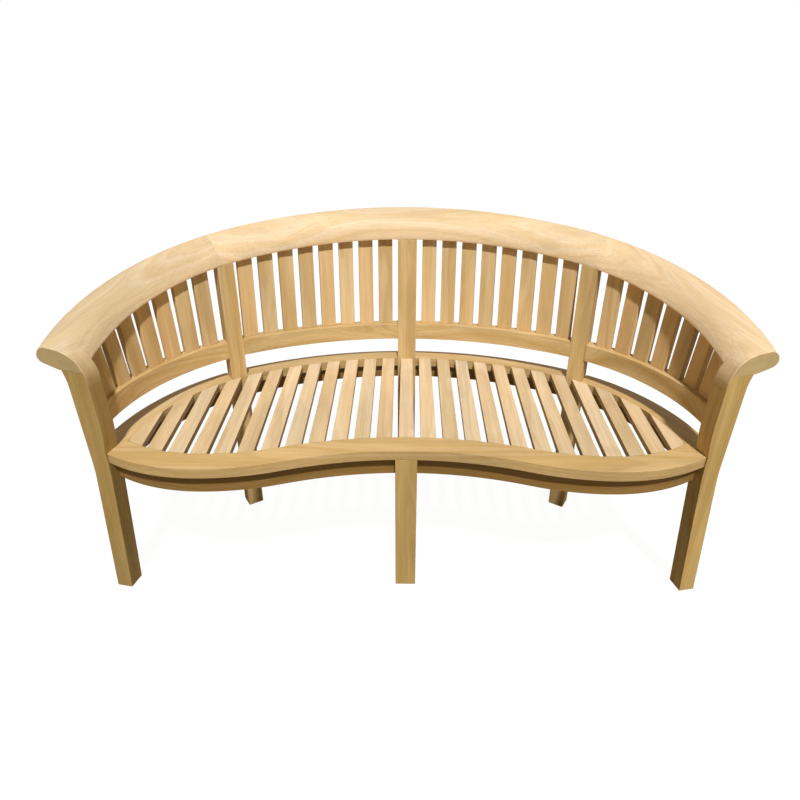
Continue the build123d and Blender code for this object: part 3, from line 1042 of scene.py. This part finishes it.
@dataclass(frozen=True)
class Studio:
    """Pale floor, white surroundings and soft lamps."""

    floor_size: float = 40.0
    floor_colour: Colour = (0.20, 0.17, 0.12)
    floor_roughness: float = 0.9
    floor_glow: float = 1.29
    surround: Colour = (1.0, 0.80, 0.40)
    surround_strength: float = 0.15
    shadow_share: float = 0.25
    lamps: tuple[Lamp, ...] = (
        Lamp(
            "key_lamp",
            LampKind.SUN,
            place=(0.25, -1.6, 2.9),
            target=(0.0, 0.0, 0.4),
            spread=math.radians(4),
            power=3.45,
        ),
        Lamp(
            "back_lamp",
            LampKind.AREA,
            place=(-0.6, 3.8, 1.3),
            target=(0.0, 0.0, 0.45),
            spread=2.6,
            power=9.0,
            colour=(1.0, 0.92, 0.74),
        ),
        Lamp(
            "front_lamp",
            LampKind.AREA,
            place=(2.4, -2.8, 1.4),
            target=(0.0, 0.0, 0.45),
            spread=2.6,
            power=4.0,
            colour=(1.0, 0.86, 0.55),
        ),
    )

    def floor(self) -> bpy.types.Object:
        """Adds the floor, which shows white with a faint shadow.

        Returns:
            The floor object.
        """
        deselect_all()
        bpy.ops.mesh.primitive_plane_add(size=self.floor_size)
        floor = bpy.context.object
        floor.name = "studio_floor"
        material = bpy.data.materials.new("pale_floor")
        material.use_nodes = True
        graph = Graph(material.node_tree)
        shader = material.node_tree.nodes["Principled BSDF"]
        shader.inputs["Base Color"].default_value = (*self.floor_colour, 1.0)
        shader.inputs["Roughness"].default_value = self.floor_roughness
        glow = graph.node("ShaderNodeEmission", {"Color": WHITE, "Strength": self.floor_glow})
        path = graph.node("ShaderNodeLightPath")
        seen = graph.math("MULTIPLY", path.outputs["Is Camera Ray"], 1.0 - self.shadow_share)
        mixed = graph.node("ShaderNodeMixShader", {0: seen, 1: shader.outputs[0], 2: glow.outputs[0]})
        output = material.node_tree.nodes["Material Output"]
        graph.put(output.inputs["Surface"], mixed.outputs[0])
        floor.data.materials.append(material)
        return floor

    def surroundings(self) -> None:
        """Lights the scene evenly and shows white behind it."""
        world = bpy.data.worlds.new("white_surroundings")
        world.use_nodes = True
        graph = Graph(world.node_tree)
        light = world.node_tree.nodes["Background"]
        light.inputs["Color"].default_value = (*self.surround, 1.0)
        light.inputs["Strength"].default_value = self.surround_strength
        white = graph.node("ShaderNodeBackground", {"Color": WHITE, "Strength": 1.0})
        path = graph.node("ShaderNodeLightPath")
        seen = graph.math("MAXIMUM", path.outputs["Is Camera Ray"], path.outputs["Is Glossy Ray"])
        mixed = graph.node("ShaderNodeMixShader", {0: seen, 1: light.outputs[0], 2: white.outputs[0]})
        graph.put(world.node_tree.nodes["World Output"].inputs["Surface"], mixed.outputs[0])
        bpy.context.scene.world = world

    def build(self) -> None:
        """Sets the floor, the surroundings and the lamps."""
        self.floor()
        self.surroundings()
        for lamp in self.lamps:
            lamp.build()
        bpy.context.scene.view_settings.view_transform = "Standard"


def finishes() -> dict[Stock, bpy.types.Material]:
    """Builds the teak finishes; the apron and leg teak, and in part the board teak, are darkened as painted
    shade.

    Returns:
        The material for each kind of board.
    """
    rings, fibres = Figure().build(), Fibres().build()
    crown = Teak(
        "crown_teak",
        pale=(0.85, 0.67, 0.46),
        golden=(0.77, 0.57, 0.32),
        brown=(0.56, 0.36, 0.16),
        ruddy=(0.84, 0.58, 0.36),
        end_grain=(0.48, 0.35, 0.15),
        figure=0.26,
        tone_spread=0.09,
    )
    # Darker and more saturated than the crown and seat-slat teak: partly the teak's own colour, partly
    # painted shade for the upright faces of the boards, rails and posts.
    board = Teak(
        "board_teak",
        pale=(0.72, 0.53, 0.27),
        golden=(0.57, 0.37, 0.13),
        brown=(0.40, 0.23, 0.07),
        ruddy=(0.62, 0.40, 0.20),
        end_grain=(0.34, 0.23, 0.07),
    )
    # Much darker than the other teak: painted shade for the aprons, which sit in the shadow under the seat
    # boards.
    apron = Teak(
        "apron_teak",
        pale=(0.34, 0.20, 0.06),
        golden=(0.29, 0.16, 0.04),
        brown=(0.20, 0.10, 0.02),
        ruddy=(0.31, 0.16, 0.05),
        end_grain=(0.20, 0.12, 0.03),
    )
    # Darker than the board teak: painted shade for the legs, which get less light near the floor.
    leg = Teak(
        "leg_teak",
        pale=(0.65, 0.46, 0.18),
        golden=(0.53, 0.34, 0.10),
        brown=(0.35, 0.22, 0.07),
        ruddy=(0.52, 0.33, 0.14),
        end_grain=(0.28, 0.19, 0.06),
        tone_spread=0.16,
    )
    stave = Teak(
        "stave_teak",
        pale=(0.80, 0.61, 0.34),
        golden=(0.65, 0.44, 0.19),
        brown=(0.44, 0.26, 0.09),
        ruddy=(0.68, 0.42, 0.20),
        end_grain=(0.36, 0.24, 0.08),
        tone_spread=0.10,
        ruddy_share=0.45,
    )
    slat = Teak(
        "slat_teak",
        pale=(0.84, 0.68, 0.46),
        golden=(0.69, 0.51, 0.28),
        brown=(0.46, 0.30, 0.14),
        ruddy=(0.70, 0.49, 0.29),
        end_grain=(0.38, 0.26, 0.09),
        tone_spread=0.08,
        ruddy_share=0.45,
    )
    made = {finish.name: finish.build(rings, fibres) for finish in (crown, board, apron, leg, stave, slat)}
    return {
        Stock.CROWN: made["crown_teak"],
        Stock.BOARD: made["board_teak"],
        Stock.RAIL: made["board_teak"],
        Stock.APRON: made["apron_teak"],
        Stock.POST: made["board_teak"],
        Stock.LEG: made["leg_teak"],
        Stock.SEAT_SLAT: made["slat_teak"],
        Stock.BACK_SLAT: made["stave_teak"],
        Stock.HIDDEN: made["board_teak"],
    }


def main() -> None:
    """Builds the whole scene in order."""
    logging.basicConfig(level=logging.INFO, format="%(name)s: %(message)s")
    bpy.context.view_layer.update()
    Viewpoint().build()
    Studio().build()
    pieces = Boards().build(finishes())
    LOG.info("%d pieces dressed", len(pieces))


if __name__ == "__main__":
    main()
